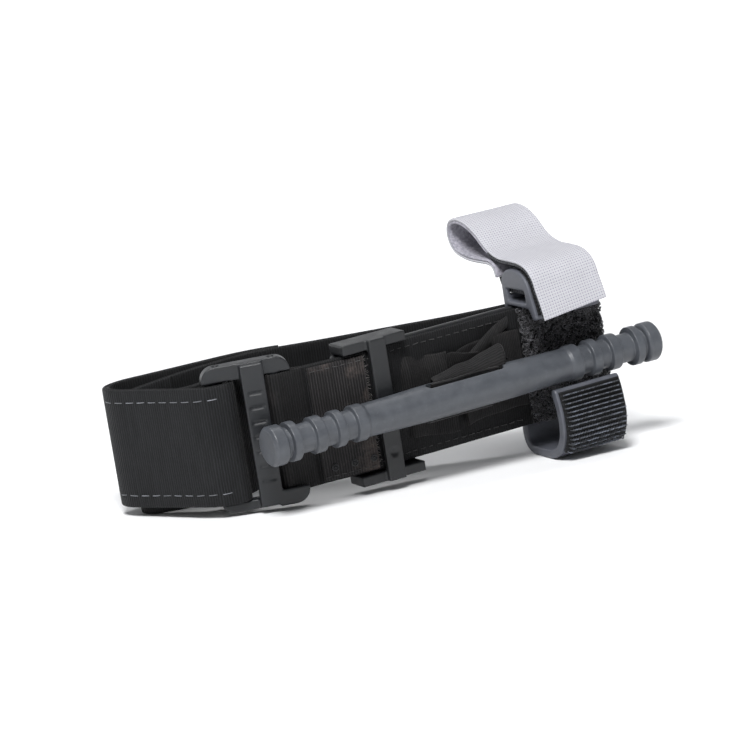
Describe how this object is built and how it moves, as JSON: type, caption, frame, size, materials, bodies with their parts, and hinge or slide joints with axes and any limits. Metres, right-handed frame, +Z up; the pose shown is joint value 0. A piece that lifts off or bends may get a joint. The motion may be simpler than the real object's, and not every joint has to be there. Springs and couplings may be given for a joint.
{
  "type": "windlass tourniquet",
  "caption": "Folded black webbing tourniquet standing on edge, with a windlass rod held in its clip, a routing buckle and a pale time strap.",
  "frame": {"origin": "middle of the folded pack's footprint, on the surface it stands on", "axes": "+X along the windlass toward the clip, -Y toward the clip mouth, +Z up"},
  "size_m": [0.1704, 0.0678, 0.0762],
  "materials": {
    "buckle_plastic": "moulded nylon, satin",
    "plate_plastic": "moulded nylon, satin",
    "clip_plastic": "moulded nylon, satin",
    "rod_plastic": "glass-filled nylon, satin",
    "hook_tape": "moulded hook tape",
    "ribbon": "ribbed woven ribbon",
    "webbing": "woven nylon tape",
    "worn_webbing": "worn woven nylon tape",
    "sleeve_webbing": "ribbed woven nylon tape",
    "loop_pile": "curly loop pile",
    "pale_thread": "sewing thread",
    "dark_thread": "sewing thread",
    "tip_tab": "folded and sewn tape end",
    "strap_back": "hook tape backing",
    "strap_face": "knitted write-on face"
  },
  "bodies": {
    "pack": {"stabilization_plate": "plate_plastic", "windlass_clip": "clip_plastic", "clip_hook_patch": "hook_tape", "clip_upper_tape": "hook_tape", "ribbon_left_run": "ribbon", "ribbon_right_run": "ribbon", "buckle_loop": "webbing", "section_face_tape": "worn_webbing", "section_liner_tape": "webbing", "section_patch": "worn_webbing", "loop_stitching": "dark_thread", "clip_band_face": "webbing", "clip_band_liner": "webbing", "loop_pile_pad": "loop_pile", "right_fold": "loop_pile", "back_run_face": "webbing", "back_run_liner": "webbing", "inner_fold": "webbing", "inner_run": "webbing", "buckle_uturn": "sleeve_webbing", "outer_run_face": "sleeve_webbing", "outer_run_liner": "webbing", "outer_run_stitching": "pale_thread", "outer_fold": "sleeve_webbing", "tail_face": "sleeve_webbing", "tail_liner": "webbing", "tail_tip": "tip_tab", "strap_anchor": "strap_back", "strap_back_loop": "strap_face"},
    "ribbon": {"ribbon_upper_span": "ribbon", "ribbon_lower_span": "ribbon"},
    "windlass": {"windlass_rod": "rod_plastic", "ribbon_in_slot": "ribbon"},
    "buckle": {"routing_buckle": "buckle_plastic"},
    "time_strap": {"time_strap_face": "strap_face", "time_strap_backing": "strap_back"}
  },
  "joints": [
    {"name": "windlass_lift", "type": "slide", "parent": "pack", "child": "ribbon", "axis": [0, -1, 0], "range_m": [0, 0.017]},
    {"name": "windlass_turn", "type": "hinge", "parent": "ribbon", "child": "windlass", "pos_m": [0.01448, -0.02547, 0.02805], "axis": [0, 1, 0], "range_deg": [-9, 0], "deforming": ["ribbon_upper_span", "ribbon_lower_span"]},
    {"name": "buckle_tilt", "type": "hinge", "parent": "pack", "child": "buckle", "pos_m": [-0.04272, -0.01013, 0.0245], "axis": [-0.0576, 0, 0.9983], "range_deg": [-5, 5], "deforming": ["buckle_uturn"]},
    {"name": "time_strap_fold", "type": "hinge", "parent": "pack", "child": "time_strap", "pos_m": [0.05369, -0.00057, 0.06545], "axis": [-0.9983, 0, -0.0576], "range_deg": [0, 110]}
  ]
}
